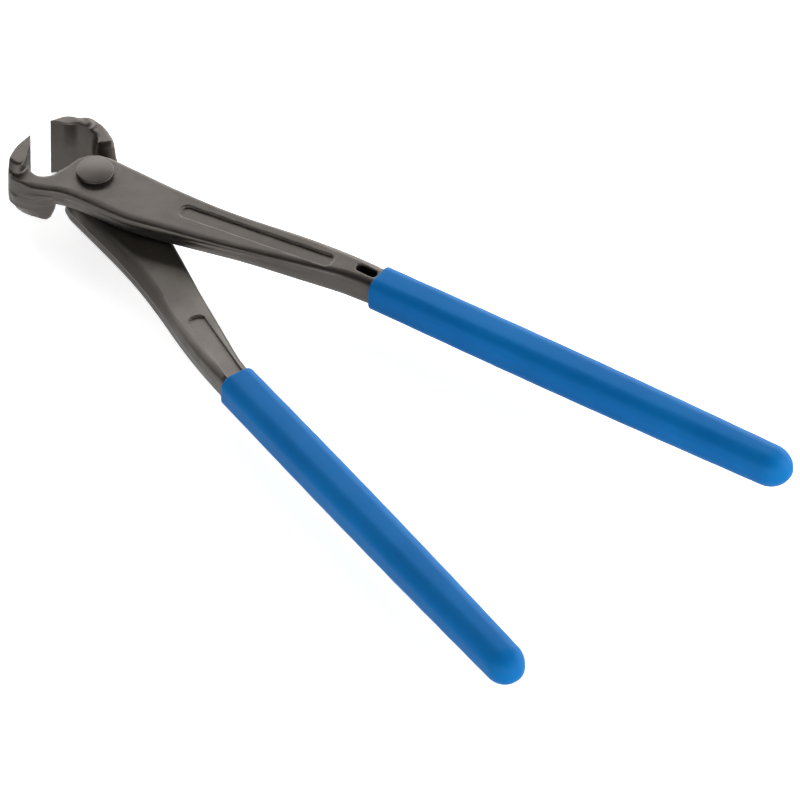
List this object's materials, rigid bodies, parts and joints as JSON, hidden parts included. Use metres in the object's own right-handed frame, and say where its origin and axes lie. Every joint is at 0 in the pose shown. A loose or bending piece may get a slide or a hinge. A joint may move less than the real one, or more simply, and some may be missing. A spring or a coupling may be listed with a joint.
{
  "type": "rebar tying pliers",
  "caption": "End-cutting nippers for twisting and cutting tying wire: crossed forged levers on a rivet, hooked jaws with a straight cutting edge, long slim handles with dipped grips.",
  "frame": {"origin": "middle of the lower rivet head's flat face, on the pivot axis", "axes": "+Y from the pivot towards the jaws, along the tool; +Z along the pivot axis, up out of the front lever; +X to the side of the front lever's handle"},
  "size_m": [0.1334, 0.2728, 0.0232],
  "materials": {
    "forged_steel": "satin black oxide on a drop forging",
    "rivet_steel": "satin black oxide, slightly smoother than the levers",
    "grip_dip": "satin blue dipped coating"
  },
  "bodies": {
    "rear": {"rear_lever": "forged_steel", "rear_grip": "grip_dip", "pivot_rivet": "rivet_steel"},
    "front": {"front_lever": "forged_steel", "front_grip": "grip_dip"}
  },
  "joints": [
    {"name": "pivot", "type": "hinge", "parent": "rear", "child": "front", "pos_m": [0, 0, 0.01], "axis": [0, 0, 1], "range_deg": [-20.2, 40]}
  ]
}
